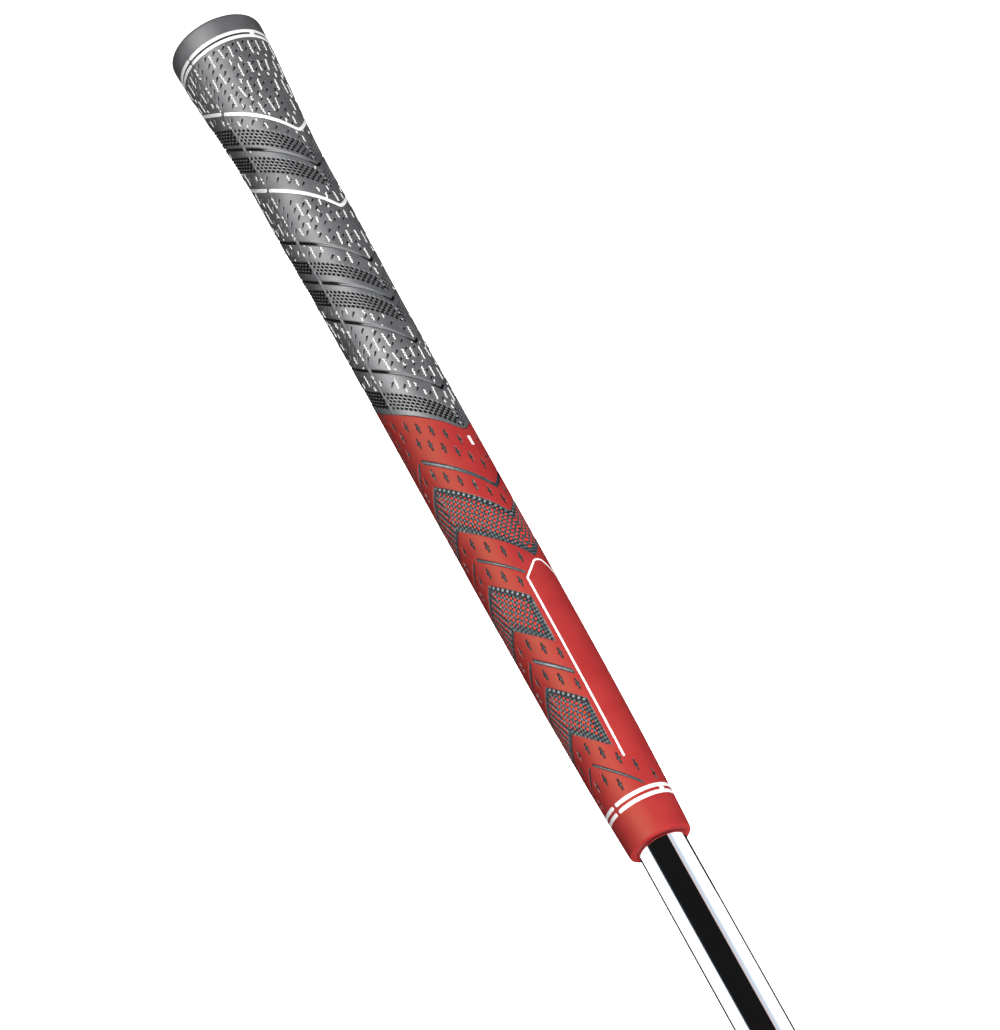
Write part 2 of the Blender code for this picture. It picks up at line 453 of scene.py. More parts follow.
def chrome():
    nodes = Nodes("shaft_chrome")
    haze = nodes.noise(1.0, 3.0, nodes.stretched((60.0, 60.0, 9.0)))
    lines = nodes.noise(1.0, 2.0, nodes.stretched((300.0, 300.0, 5200.0)))
    colour = nodes.mix(nodes.map(haze, 0.35, 0.65), (0.86, 0.87, 0.88), (0.90, 0.905, 0.91))
    nodes.bump(lines, 0.02, 0.00001)
    return nodes.finish(colour, nodes.map(haze, 0.3, 0.7, 0.035, 0.06), Metallic=1.0)


def tape_paper():
    nodes = Nodes("tape")
    crepe = nodes.noise(1.0, 3.0, nodes.stretched((1200.0, 1200.0, 5200.0)))
    colour = nodes.mix(nodes.map(crepe, 0.3, 0.7), (0.50, 0.44, 0.32), (0.66, 0.60, 0.47))
    nodes.bump(crepe, 0.4, 0.0001)
    return nodes.finish(colour, nodes.map(crepe, 0.3, 0.7, 0.7, 0.85))


# ---- the moulded skins


class Skin:
    """Half of the grip's surface as a fine grid, with a lift in millimetres that features cut into.

    front and seam are angles from the front and from the nearer seam. pit is how dark a hollow is:
    partly its dark fill, partly painted shade on walls and between knobs. core is positive where the
    dark core is bare, and knob is how near a point is to a raised top, which the materials lighten as a
    painted highlight.
    """

    def __init__(self, middle, height_of, length):
        columns = int(math.pi * GRID_RADIUS / COLUMN_SPACING)
        rows = int(length / ROW_SPACING)
        angle = np.linspace(middle - 90.0, middle + 90.0, columns)[None, :]
        share = np.linspace(0.0, 1.0, rows)[:, None]
        self.angle = np.broadcast_to(angle, (rows, columns)).copy()
        self.front = from_front(self.angle)
        self.seam = np.abs(90.0 - self.front)
        self.z = height_of(share, self.front)
        self.radius = radius_at(self.z)
        self.scale = self.radius * math.pi / 180.0
        self.lift = np.zeros_like(self.z)
        self.pit = np.zeros_like(self.z)
        self.core = np.full_like(self.z, -1.0)
        self.knob = np.zeros_like(self.z)

    def slant(self, rise):
        """How much a slanted line's height difference shrinks when it is measured across the line."""
        return 1.0 / np.sqrt(1.0 + (rise / self.scale) ** 2)

    def across(self, line, rounding=2.0):
        """Distance from a V line, positive towards the mouth."""
        height, rise = line
        return (self.z - height + rise * soft_v(self.front, rounding)) * self.slant(rise)

    def across_folded(self, height):
        """Distance from a zigzag line that starts at this height on the seams."""
        rounding = 2.0
        m = 90.0 - np.sqrt((90.0 - self.seam) ** 2 + rounding**2)
        return (self.z - height - RED_RISE * m) * self.slant(RED_RISE)

    def from_seam(self):
        return self.seam * self.scale

    def carve(self, inside, depth, wall=0.14, dark=0.0):
        """Cuts where inside is positive, with sloping walls. inside is a distance to the edge."""
        share = smooth(0.0, wall, inside)
        self.lift = np.minimum(self.lift, -depth * share)
        self.pit = np.maximum(self.pit, dark * share)


def carve_to_core(skin, inside, depth, wall, bottom):
    """Cuts through the red skin, with painted shade: nearly black walls, and a bottom that is this
    dark.
    """
    skin.core = np.maximum(skin.core, inside)
    skin.carve(inside, depth, wall)
    # Painted shade: the walls are nearly black, the bottom lighter
    edge = 0.95
    pit = edge + (bottom - edge) * smooth(wall - 0.02, wall + 0.06, inside)
    skin.pit = np.where(inside > 0.0, pit, skin.pit)


def slit_shape(along, across):
    """Distance inside a slit, whose wide end is at its start."""
    body = 0.22 - np.hypot(across, np.maximum(np.abs(along) - 0.56, 0.0))
    eye = 0.31 - np.hypot(across, along + 0.42)
    return np.maximum(body, eye)


def carve_slits(skin, centre_w, centre_z, keep):
    """Slits at 45 degrees that are deepest and darkest at their wide end."""
    du = (skin.front - centre_w) * skin.scale
    dz = skin.z - centre_z
    along, across = (du + dz) / math.sqrt(2.0), (du - dz) / math.sqrt(2.0)
    inside = np.where(keep, slit_shape(along, across), -1.0)
    fade = smooth(0.75, -0.25, along)
    skin.carve(inside, 0.22 + 0.33 * fade, 0.15, dark=0.45 + 0.55 * fade)


def slit_column(skin, count):
    """The angle from the front of the nearest of count columns."""
    step = 360.0 / count
    return (np.floor(skin.front / step) + 0.5) * step


def line_height(line, w):
    """The height of a slanted line at an angle from the front."""
    return line[0] - line[1] * w


def upper_skin(middle):
    """Half of the corded skin, from the butt to the V of the junction."""

    def height_of(share, w):
        return share * (JUNCTION_POINT + (junction_at(w) - JUNCTION_POINT) * share)

    skin = Skin(middle, height_of, JUNCTION_POINT)
    seam_gap = skin.from_seam()
    off_seam = smooth(0.18, 0.42, seam_gap)
    for line in UPPER_GROOVES:
        d = skin.across(line)
        skin.lift += 0.13 * np.exp(-(((d - 0.85) / 0.42) ** 2)) * off_seam
        inside = np.minimum(GROOVE_HALF_WIDTH - np.abs(d), seam_gap - 0.35)
        # Between the seams and the point the grooves are shallower and painted pale as a painted
        # highlight; near the seams and the point they are painted dark as shade
        lit_shallow_middle = smooth(14.0, 34.0, 90.0 - skin.front) * smooth(4.0, 16.0, skin.front)
        skin.carve(inside, 0.60 - 0.27 * lit_shallow_middle, 0.30 - 0.1 * (1.0 - lit_shallow_middle), dark=1.0 - 0.85 * lit_shallow_middle)
    for top, bottom, rise in UPPER_KNURLS:
        carve_pits(skin, top, bottom, rise)
    for line in SLIT_ROWS:
        count = SLIT_COLUMNS_BUTT if line[0] < CHEVRONS[0][0] + 5 else SLIT_COLUMNS
        w = slit_column(skin, count)
        z = line_height(line, w)
        carve_slits(skin, w, z, z > BUTT_RINGS[1] + RING_WIDTH + 0.9)
    for first, pitch, count, above, below in SLIT_FIELDS:
        w = slit_column(skin, count)
        z = first + pitch * np.round((skin.z - first) / pitch)
        keep = z < line_height(below, w) - SLIT_CLEARANCE
        keep &= z > (line_height(above, w) + SLIT_CLEARANCE if above else first - 0.5)
        carve_slits(skin, w, z, keep)
    for line in CHEVRONS:
        from_line = np.abs(skin.across(line, CHEVRON_ROUNDING))
        skin.carve(CHEVRON_HALF_WIDTH - PAINT_OVERLAP - from_line, depth=0.16, wall=0.1)
    carve_rings(skin, BUTT_RINGS, depth=0.16)
    gap = (BUTT_RINGS[0] + RING_WIDTH + BUTT_RINGS[1]) / 2
    skin.carve(0.36 - np.abs(skin.z - gap), depth=0.25, wall=0.1, dark=0.5)
    skin.lift += 0.06 * np.exp(-((seam_gap / 0.2) ** 2)) * smooth(8.9, 9.4, skin.z)
    return skin


def carve_rings(skin, starts, depth):
    """The recesses that the painted rings lie in."""
    for start in starts:
        from_line = np.abs(skin.z - start - RING_WIDTH / 2)
        skin.carve(RING_WIDTH / 2 - PAINT_OVERLAP - from_line, depth, wall=0.1)


def carve_pits(skin, top, bottom, rise):
    """A slanting lattice of long pits with ridges between them, like a diamond knurl."""
    top_line = top - rise * skin.front
    height = bottom - top
    count = int((height - 0.5) / PIT_ROW_PITCH) + 1
    best_inside, best_ridge = np.full_like(skin.z, -1.0), np.zeros_like(skin.z)
    behind = skin.front > 90.0
    # Behind the seams the pits run into rows along the band
    turn = np.radians(np.where(behind, 37.0, 57.0))
    long = np.where(behind, 1.05, 0.66)
    wide = np.where(behind, 0.55, 0.37 + 0.19 * smooth(62.0, 22.0, skin.front))
    for row in range(count):
        for shift in (0, 1):
            phase = 90.0 - 3.0 + PIT_STAGGER * row
            number = np.floor((phase - skin.front) / PIT_STEP) + shift
            w = phase - PIT_STEP * number
            z = top - rise * w + 0.55 + PIT_ROW_PITCH * row
            du, dz = (w - skin.front) * skin.scale, skin.z - z
            along = du * np.cos(turn) + dz * np.sin(turn)
            across = -du * np.sin(turn) + dz * np.cos(turn)
            keep = (np.abs(90.0 - w) * skin.scale > 0.42) & (w > 1.0) & (w < 179.0)
            inside = 0.36 * (1.0 - np.hypot(along / long, across / wide))
            best_inside = np.maximum(best_inside, np.where(keep, inside, -1.0))
            ridge = 1.0 - np.hypot(along / np.where(behind, 0.40, 0.70), (across + 0.44) / 0.34)
            best_ridge = np.maximum(best_ridge, np.where(keep, ridge, 0.0))
    band = smooth(-0.1, 0.3, np.minimum(skin.z - top_line, top_line + height - skin.z))
    band = band * smooth(0.25, 0.5, skin.from_seam())
    skin.lift += 0.12 * smooth(0.0, 0.7, best_ridge) * band
    # Lighter ridge tops: partly buffed pale rubber, partly a painted highlight, half as strong behind
    # the seams
    buffed_crest_highlight = smooth(0.1, 0.8, best_ridge) * band * np.where(behind, 0.5, 1.0)
    skin.knob = np.maximum(skin.knob, buffed_crest_highlight)
    skin.carve(best_inside, depth=0.52, wall=0.2, dark=1.0)


def slot_shape(du, dz):
    """Distance inside a straight slot that is wider in its middle."""
    body = 0.26 - np.hypot(du, np.maximum(np.abs(dz) - 1.42, 0.0))
    eye = 0.30 * (1.0 - np.hypot(du / 0.55, dz / 0.50))
    return np.maximum(body, eye)


def carve_slots(skin, centre_angle, centre_z, measured, keep):
    """Slots through the red skin. measured is the folded or plain angle that the centres use."""
    inside = slot_shape((measured - centre_angle) * skin.scale, skin.z - centre_z)
    carve_to_core(skin, np.where(keep, inside, -1.0), depth=0.58, wall=0.10, bottom=0.45)


def slot_row(skin, height, rise, first, pitch, count, keep):
    """A slanted row of slots on both sides of each seam."""
    number = np.clip(np.round((skin.seam - first) / pitch), 0, count - 1)
    m = first + pitch * number
    carve_slots(skin, m, height + rise * m, skin.seam, keep)


def carve_groove(skin, height, half_width, reach, keep):
    """A groove on both sides of the seams, with round ends, out to reach degrees."""
    d = skin.across_folded(height)
    along = np.maximum(0.95 - skin.from_seam(), (skin.seam - reach) * skin.scale)
    inside = half_width - np.hypot(d, np.maximum(along, 0.0))
    carve_to_core(skin, np.where(keep, inside, -1.0), depth=0.50, wall=0.13, bottom=0.2)


def knurl_window(skin, start, depth, side_limit):
    """A window of knobs: red domes and grey ones between them, and a row of large grey ones first.

    size is the distance from a knob's middle, 1 at its edge. side_limit is how near the front's
    middle the window may come, in millimetres.
    """
    column_pitch, row_pitch, border = KNOB_COLUMN_PITCH, KNOB_ROW_PITCH, 1.15
    top, bottom = skin.across_folded(start), skin.across_folded(start + depth)
    inside = np.minimum(top, -bottom)
    if side_limit:
        side = skin.front * skin.scale - side_limit
        inside = np.where(skin.front < 90.0, np.minimum(inside, side), inside)
    row = np.round(skin.z / row_pitch)
    dz = skin.z - row * row_pitch
    # On the front the domes are chequered; behind the seams they stand in leaning columns
    column = np.round(skin.seam / column_pitch)
    du = (skin.seam - column * column_pitch) * skin.scale
    lean = (skin.seam + KNOB_LEAN * skin.z / row_pitch) / (2 * column_pitch)
    lean = (lean - np.round(lean)) * 2 * column_pitch * skin.scale
    behind = skin.front > 90.0
    red_knob = np.where(behind, np.abs(lean) < 0.46, (column + row) % 2 == 0) & (inside > border)
    du = np.where(behind & red_knob, lean, du)
    shrink = 0.62 + 0.38 * smooth(1.3, 2.2, inside)
    half_u = np.where(red_knob, np.where(behind, 0.37, 0.44) * shrink, 0.36)
    half_z = np.where(red_knob, np.where(behind, 0.38, 0.54) * shrink, 0.46)
    size = np.hypot(du / half_u, dz / half_z)
    ridge = np.abs(np.abs(lean) - 0.34) / 0.20
    size = np.where(behind & (~red_knob | (size > 1.1)), np.maximum(ridge, 0.95), size)
    # The first row: one large knob to each row pitch, just inside the upper edge
    edge_m = (row * row_pitch - start - 0.80) / RED_RISE
    edge_size = np.hypot((skin.seam - edge_m) * skin.scale / 0.47, dz / 0.50)
    edge = (top < 1.2) & (edge_m > 1.0) & ~behind
    size = np.where(edge, edge_size, size)
    knob = np.clip(1.0 - (size / 1.14) ** 2, 0.0, 1.0) ** np.where(red_knob, 0.35, 0.6)
    knob = np.where(inside > 0.12, knob, 0.0)
    share = smooth(0.0, 0.12, inside)
    height = KNOB_FLOOR + knob * np.where(red_knob, 0.47, 0.38)
    lift = np.minimum(skin.lift, 0.0) * (1 - share) + height * share
    skin.lift = np.where(inside > 0.0, lift, skin.lift)
    off_dome = np.minimum(inside, (size - 0.92) * 0.35)
    skin.core = np.maximum(skin.core, np.where(red_knob, off_dome, inside))
    # Painted highlight: the domes' tops are lightened, the large first row most
    bright = smooth(0.35, 0.85, knob) * np.where(edge, 1.0, 0.7)
    skin.knob = np.maximum(skin.knob, np.where(inside > 0.0, bright, 0.0))
    # Painted shade: the windows darken away from the domes' tops, most on the floor between them
    skin.pit = np.maximum(skin.pit, np.where(inside > 0.0, share * (1.0 - knob) * 0.95, 0.0))


def carve_back_slots(skin):
    """Level, staggered slots on the back, between the junction and the first groove."""
    pitch_z, pitch_w = BACK_SLOT_PITCH
    for shift in (0, 1):
        z = BACK_SLOT_FIRST[0] - BACK_SLOT_STAGGER[0] * shift
        z = z + pitch_z * np.round((skin.z - z) / pitch_z)
        w = BACK_SLOT_FIRST[1] - BACK_SLOT_STAGGER[1] * shift
        w = w + pitch_w * np.round((skin.front - w) / pitch_w)
        w = np.where(w > 172.0, 180.0, w)
        keep = (w > 90.0) & (z > JUNCTION_POINT - JUNCTION_RISE * w + BACK_SLOT_CLEARANCE)
        keep &= z < RED_FIRST + RED_RISE * np.abs(w - 90.0) - BACK_SLOT_CLEARANCE
        carve_slots(skin, w, z, skin.front, keep & (skin.front >= 90.0))


def lower_skin(middle):
    """Half of the red skin, from the V of the junction to the mouth."""

    def height_of(share, w):
        start = JUNCTION_POINT + (junction_at(w) - JUNCTION_POINT) * (1.0 - share) ** 2
        return start + (GRIP_LENGTH - JUNCTION_POINT) * share

    skin = Skin(middle, height_of, GRIP_LENGTH - JUNCTION_POINT + 8.0)
    front = skin.front < 90.0
    below = skin.z - junction_at(skin.front)
    skin.core = np.maximum(skin.core, JUNCTION_LINE - below)
    skin.pit = np.maximum(skin.pit, 0.8 * (below < JUNCTION_LINE))
    skin.lift -= 0.12 * smooth(0.45, 0.1, below)
    carve_back_slots(skin)
    slot_row(skin, RED_FIRST - 11.8, 0.165, 8.2, 16.0, 5, front)
    slot_row(skin, RED_FIRST - 6.3, 0.166, 13.4, 15.2, 6, front)
    for turn, (reach, half, under, above_next) in enumerate(RED_REPEATS):
        start = RED_FIRST + RED_PITCH * turn
        last = not above_next
        first, pitch = (9.9, 18.4) if turn else (9.3, 16.04)
        carve_groove(skin, start, half, reach, front)
        carve_groove(skin, start, half, 58.0 if last else 90.0, ~front)
        row = start + SLOTS_FROM_GROOVE
        slot_row(skin, row, 0.181, first, pitch, under, front)
        slot_row(skin, row, 0.181, first, pitch if last else 16.04, 2 if last else 6, ~front)
        if not last:
            row = start + SLOTS_ABOVE_NEXT
            slot_row(skin, row, 0.179, 9.9, 18.3, above_next, front)
            slot_row(skin, row, 0.179, 9.3, 16.04, 6 if turn < 2 else 3, ~front)
            side_limit = WINDOW_SIDE if turn else 0.0
            knurl_window(skin, start + WINDOW_FROM_GROOVE, WINDOW_DEPTH, side_limit)
    for angle, z in ((24.0, 251.3), (0.0, 254.8)):
        carve_slots(skin, angle, z, skin.front, front & (skin.front < 40.0))
    carve_rings(skin, MOUTH_RINGS, depth=0.14)
    from_line = distance_to_path(skin, name_outline())
    skin.carve(NAME_LINE_HALF_WIDTH - from_line, depth=0.14, wall=0.08)
    return skin


def name_outline():
    """The line round the name panel as (distance round the front, height): up one side, over, down."""
    side, top = NAME_HALF_WIDTH, NAME_TOP
    rounding, rise = 1.5, 0.95
    shoulder = top + (side - rounding) * rise + 0.35
    bend = [(rounding * s, top + 0.35 * s * s) for s in np.linspace(-1.0, 1.0, 9)]
    left = [(-side, NAME_END), (-side, shoulder + 0.4), (-side + 0.25, shoulder)]
    right = [(side - 0.25, shoulder), (side, shoulder + 0.4), (side, NAME_END)]
    return np.array(left + bend + right)


def distance_to_path(skin, path):
    """Distance from each point of the skin to a line of straight runs on the front."""
    turned = (skin.angle + 180.0) % 360.0 - 180.0
    u, z = turned * skin.scale, skin.z
    best = np.full_like(u, 99.0)
    for (u0, z0), (u1, z1) in zip(path, path[1:]):
        du, dz = u1 - u0, z1 - z0
        t = np.clip(((u - u0) * du + (z - z0) * dz) / (du * du + dz * dz), 0.0, 1.0)
        best = np.minimum(best, np.hypot(u - u0 - t * du, z - z0 - t * dz))
    return best


def skin_object(name, skin, materials, first_rows, last_rows):
    """The skin's mesh. first_rows and last_rows are (radius, height or None) rows that turn it in.

    The second material goes on the faces deep in pits, and a third one where the core is bare.
    """
    angle = skin.angle[0]

    def turned_in(row, edge):
        radius, z = row
        return np.full_like(angle, radius), edge if z is None else np.full_like(angle, z)

    rows = [turned_in(row, skin.z[0]) for row in first_rows]
    rows += list(zip(skin.radius + skin.lift, skin.z))
    rows += [turned_in(row, skin.z[-1]) for row in last_rows]
    points = np.stack([place(angle, r, z) for r, z in rows])
    pad = ((len(first_rows), len(last_rows)), (0, 0))
    fields = {"pit": skin.pit, "core": skin.core, "knob": skin.knob}
    attributes = {key: np.pad(values, pad, mode="edge") for key, values in fields.items()}
    quads = grid_quads(points.shape[0], points.shape[1])
    made = mesh_object(name, points, quads, materials, attributes)
    deep = 0.42
    finish = np.where(attributes["pit"].ravel()[quads].mean(axis=1) > deep, 1, 0)
    if len(materials) > 2:
        bare = attributes["core"].ravel()[quads].mean(axis=1) > 0.0
        finish = np.where(bare, 2 - finish, 0)
    made.data.polygons.foreach_set("material_index", finish.astype(np.int32))
    return made


# ---- paint and cotton


def ribbon(path, half_width, rise, sink, step=0.3, taper_ends=True, lumps=0.0):
    """Points and quads of a thin raised strip that lies on the grip along (angle, height) points.

    lumps is how much narrower it is between the lumps of its twist.
    """
    angle, z = np.array(path, float).T
    scale = degree_at(z)
    du = np.diff(angle) * (scale[:-1] + scale[1:]) / 2
    length = np.concatenate([[0.0], np.cumsum(np.hypot(du, np.diff(z)))])
    count = max(4, int(length[-1] / step))
    s = np.linspace(0.0, length[-1], count)
    if taper_ends:
        cap = half_width * (1 - np.cos(np.linspace(0.0, math.pi / 2, 6)))
        between = s[(s > half_width) & (s < length[-1] - half_width)]
        s = np.unique(np.concatenate([cap, length[-1] - cap, between]))
    a, h = np.interp(s, length, angle), np.interp(s, length, z)
    k = degree_at(h)
    ta, tz = np.gradient(a, s) * k, np.gradient(h, s)
    norm = np.hypot(ta, tz)
    ta, tz = ta / norm, tz / norm
    half = np.full_like(s, half_width)
    if taper_ends:
        near = np.minimum(s, length[-1] - s)
        reach = np.clip(1.0 - near / (0.8 * half_width), 0.0, 1.0)
        half = half_width * np.maximum(1.0 - reach**3, 0.0) ** 0.5 + 0.004
    lump_pitch = 0.475
    half = half * (1.0 - lumps * np.cos(s * math.pi / lump_pitch) ** 2)
    across = np.array([-1.0, -0.97, -0.8, 0.0, 0.8, 0.97, 1.0])
    lifts = np.array([-sink, 0.25 * rise, 0.85 * rise, rise, 0.85 * rise, 0.25 * rise, -sink])
    aa = a[:, None] - tz[:, None] / k[:, None] * across * half[:, None]
    hh = h[:, None] + ta[:, None] * across * half[:, None]
    points = place(aa, radius_at(hh) + lifts, hh)
    return points.reshape(-1, 3), grid_quads(len(s), len(across), wrap_columns=True)


def ribbons_object(name, strips, material):
    """One object from many ribbons."""
    points, quads, start = [], [], 0
    for strip_points, strip_quads in strips:
        points.append(strip_points)
        quads.append(strip_quads + start)
        start += len(strip_points)
    points, quads = np.concatenate(points), np.concatenate(quads)
    return mesh_object(name, points, quads, [material], smooth_angle=60.0)


def chevron_strip(line, middle):
    """The painted line on one half of the grip, from just off one seam to just off the other."""
    angles = middle + np.linspace(-87.9, 87.9, 161)
    heights = line_height(line, soft_v(from_front(angles), CHEVRON_ROUNDING))
    return ribbon(list(zip(angles, heights)), CHEVRON_HALF_WIDTH, PAINT_RISE, PAINT_SINK)


def ring_strips(starts, middle, seam_gap):
    """A pair of painted rings on one half, joined by a short bridge at the front."""
    strips = []
    for start in starts:
        z = start + RING_WIDTH / 2
        gap = seam_gap / degree_at(np.array(z))
        angles = np.linspace(middle - 90.0 + gap, middle + 90.0 - gap, 121)
        strips.append(ribbon([(a, z) for a in angles], RING_WIDTH / 2, PAINT_RISE, PAINT_SINK))
    if middle == 0:
        bridge = [(0.0, starts[0] + 0.3), (0.0, starts[1] + RING_WIDTH - 0.3)]
        # A little lower than the rings, so that the two don't share a surface
        rise = PAINT_RISE - 0.002
        strips.append(ribbon(bridge, BRIDGE_WIDTH / 2, rise, PAINT_SINK, 0.1, taper_ends=False))
    return strips


def outline_strip():
    """The painted line round the name panel."""
    path = name_outline()
    dense = []
    for (u0, z0), (u1, z1) in zip(path, path[1:]):
        n = max(2, int(math.hypot(u1 - u0, z1 - z0) / 0.4))
        for t in np.linspace(0.0, 1.0, n, endpoint=False):
            dense.append((u0 + t * (u1 - u0), z0 + t * (z1 - z0)))
    dense = np.array([*dense, path[-1]])
    angles = dense[:, 0] / degree_at(dense[:, 1])
    return ribbon(list(zip(angles, dense[:, 1])), NAME_LINE_HALF_WIDTH, 0.03, PAINT_SINK)


def cotton_path(angle, z, length):
    """A short exposed thread: it wanders a little from side to side."""
    n = max(5, int(length / 0.22))
    t = np.linspace(0.0, length, n)
    scale = float(degree_at(np.array(z)))
    phase = rng.uniform(0.0, 6.28)
    lean = rng.normal(0.0, 0.05)
    zigzag = np.tanh(2.5 * np.sin(t * 6.28 / 0.95 + phase))
    wobble = 0.14 * zigzag + lean * t + 0.04 * rng.standard_normal(n)
    return list(zip(angle + wobble / scale, z + t))


def clear_for_cotton(w, z0, z1):
    """True if a thread between these heights misses the rings, lines, grooves and knurled bands."""
    if z0 < BUTT_RINGS[1] + RING_WIDTH + 0.15 or z1 > JUNCTION_POINT - JUNCTION_RISE * w - 0.4:
        return False
    for line in CHEVRONS:
        if z0 - 0.9 < line_height(line, soft_v(w, CHEVRON_ROUNDING)) < z1 + 0.9:
            return False
    for line in UPPER_GROOVES:
        if z0 - 0.7 < line_height(line, w) < z1 + 0.7:
            return False
    for top, bottom, rise in UPPER_KNURLS:
        if z0 < bottom - rise * w + 0.1 and z1 > top - rise * w - 0.1:
            return False
    return True


def cotton_strips(middle):
    """The threads on one half, in columns that stand between the slits' columns and on them."""
    strips = []
    for column in range(-SLIT_COLUMNS_BUTT, SLIT_COLUMNS_BUTT + 1):
        for zone in (0, 1):
            count = SLIT_COLUMNS if zone else SLIT_COLUMNS_BUTT
            angle = middle + column * 360.0 / count / 2
            if not middle - 90.0 <= angle <= middle + 90.0:
                continue
            w = float(from_front(np.array(angle)))
            split = line_height(CHEVRONS[0], w)
            low, high = (split, JUNCTION_POINT) if zone else (9.0, split)
            strips += cotton_column(angle, w, low, high, column % 2 == 0)
    return strips


def seam_dashes(angle, z0, z1):
    """A thread cut short again and again by the parting line."""
    strips = []
    for z in np.arange(z0, z1 - 0.7, 1.35):
        strips.append(ribbon(cotton_path(angle, z, 0.8), 0.19, 0.12, 0.1, step=0.12, lumps=0.2))
    return strips


def cotton_column(angle, w, low, high, main):
    """Long threads in every main column, short ones between them."""
    strips = []
    seam = abs(w - 90.0) * float(degree_at(np.array((low + high) / 2)))
    first = COTTON_FIRST + (0.0 if main else COTTON_OFFSET)
    for number in range(22):
        z = first + COTTON_PITCH * number + rng.normal(0.0, 0.25)
        length = rng.uniform(*LONG_THREAD) if main else rng.uniform(*SHORT_THREAD)
        chance = 0.94 if main else 0.7
        if 1.0 < seam < 4.5 and w < 90.0:
            chance *= 0.45
        if number % 5 == 4:
            length *= 0.6
        if rng.random() > chance or not low < z < high - 0.5:
            continue
        for z0, z1 in ((z, z + length), (z, z + 0.5 * length), (z + 0.5 * length, z + length)):
            if z1 < high and clear_for_cotton(w, z0, z1):
                if seam < 0.5:
                    strips += seam_dashes(angle, z0, z1)
                    break
                path = cotton_path(angle + rng.normal(0.0, 0.6), z0, z1 - z0)
                half = rng.uniform(0.19, 0.24)
                strips.append(ribbon(path, half, 0.12, 0.1, step=0.12, lumps=0.35))
                break
    return strips


# ---- cap and shaft


def turned(name, profile, material, segments=128, smooth_angle=30.0):
    """A closed solid of revolution through (radius, height) points that run up the outside."""
    angle = np.linspace(0.0, 360.0, segments, endpoint=False)
    points = np.stack([place(angle, np.full(segments, r), np.full(segments, z)) for r, z in profile])
    quads = grid_quads(len(profile), segments, wrap_rows=True, wrap_columns=True)
    return mesh_object(name, points, quads, [material], smooth_angle=smooth_angle)


def arc(centre_r, centre_z, radius, start, end):
    """(radius, height) points of an arc, for a rounded edge in a profile."""
    turns = np.radians(np.linspace(start, end, 5))
    return [(centre_r + radius * math.cos(t), centre_z + radius * math.sin(t)) for t in turns]


def butt_cap(material):
    """The plug: a dished face with a raised ring, a countersunk vent hole and a ribbed spigot."""
    low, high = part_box("butt_cap")
    head, top = high.x / MM, high.z / MM
    spigot, vent = 7.97, 1.5
    outside = arc(head - 0.5, 0.5, 0.5, -90, 0) + [(head, 2.6), (head - 0.4, 3.0), (spigot, 3.0)]
    for number in range(3):
        z = 3.7 + 1.15 * number
        outside += [(spigot - 0.25, z), (spigot - 0.25, z + 0.45), (spigot, z + 0.6)]
    outside += [(spigot - 0.5, top), (vent, top)]
    face = [(vent, 0.9), (vent + 0.5, 0.45), (3.6, 0.45), (3.9, 0.12), (5.2, 0.12), (5.5, 0.0)]
    face += [(7.4, 0.0), (7.65, 0.4), (8.35, 0.4), (8.6, 0.0)]
    cap = turned("moulded_butt_cap", outside + face, material)
    return adopt(cap, "cap_rubber", "butt_cap")


def shaft(material):
    """The stepped tube, with a deburred cut end."""
    start, end, wall = SHAFT_START, SHAFT_END, 0.55
    butt, mouth, steps, first, pitch = 7.62, 6.475, 5, 50.0, 44.45
    outside = [(butt - 0.1, start), (butt, start + 0.1)]
    for number in range(steps):
        z = first + pitch * number
        before = butt - (butt - mouth) * number / steps
        after = butt - (butt - mouth) * (number + 1) / steps
        outside += [(before, z), (after, z + 3.0)]
    outside += [(mouth, end - 0.12), (mouth - 0.12, end)]
    inside = [(mouth - wall + 0.1, end), (mouth - wall, end - 0.1)]
    for radius, z in reversed(outside[1:-2]):
        inside.append((radius - wall, z))
    tube = turned("plated_shaft", outside + inside, material, segments=160, smooth_angle=35.0)
    return adopt(tube, "shaft_chrome", "shaft")


# ---- stage


def glow(name, colour, strength):
    """A black material that shines with one colour."""
    shine = {"Emission_Color": (*colour, 1.0), "Emission_Strength": strength}
    return Nodes(name).finish((0.0, 0.0, 0.0), 0.5, Specular_IOR_Level=0.0, **shine)


def floor():
    """A pale floor just under the butt that casts no light or reflection on the part."""
    side, drop = 6000.0, -0.05
    points = np.array([(x * side, y * side, drop) for x, y in ((-1, -1), (1, -1), (1, 1), (-1, 1))])
    shine = {"Emission_Color": (*WHITE, 1.0), "Emission_Strength": 0.84}
    pale = Nodes("pale_floor").finish((0.85, 0.85, 0.85), 0.9, Specular_IOR_Level=0.0, **shine)
    made = mesh_object("floor", points * MM, np.array([[0, 1, 2, 3]]), [pale])
    made.visible_diffuse = False
    made.visible_glossy = False
    made.visible_shadow = False


def card(name, azimuths, colour, strength, receivers, radius=430.0, heights=CARD_HEIGHTS, taper=0.0):
    """A curved card round the part that only mirror-like surfaces see, and only lights the receivers.

    The taper takes this many degrees off the card's far edge at its top.
    """
    start, end = azimuths
    count = 40
    edges = [np.linspace(start, end, count), np.linspace(start, end - taper, count)]
    points = [place(a, np.full(count, radius), np.full(count, h)) for a, h in zip(edges, heights)]
    made = mesh_object(name, np.stack(points), grid_quads(2, count), [glow(name, colour, strength)])
    made.visible_camera = False
    made.visible_diffuse = False
    made.visible_shadow = False
    made.visible_transmission = False
    made.light_linking.receiver_collection = receivers


def area_light(name, off_camera, elevation, distance, size, power):
    """A softbox aimed at the grip's middle. off_camera is its azimuth from the camera's, in degrees."""
    data = bpy.data.lights.new(name, "AREA")
    data.shape = "RECTANGLE"
    data.size, data.size_y = size
    data.energy = power
    light = add_object(name, data)
    a, e = math.radians(CAMERA_AZIMUTH + off_camera), math.radians(elevation)
    away = Vector((math.sin(a) * math.cos(e), -math.cos(a) * math.cos(e), math.sin(e)))
    light.location = Vector((0.0, 0.0, 0.14)) + away * distance
    light.rotation_mode = "QUATERNION"
    light.rotation_quaternion = away.to_track_quat("Z", "Y")
    return light


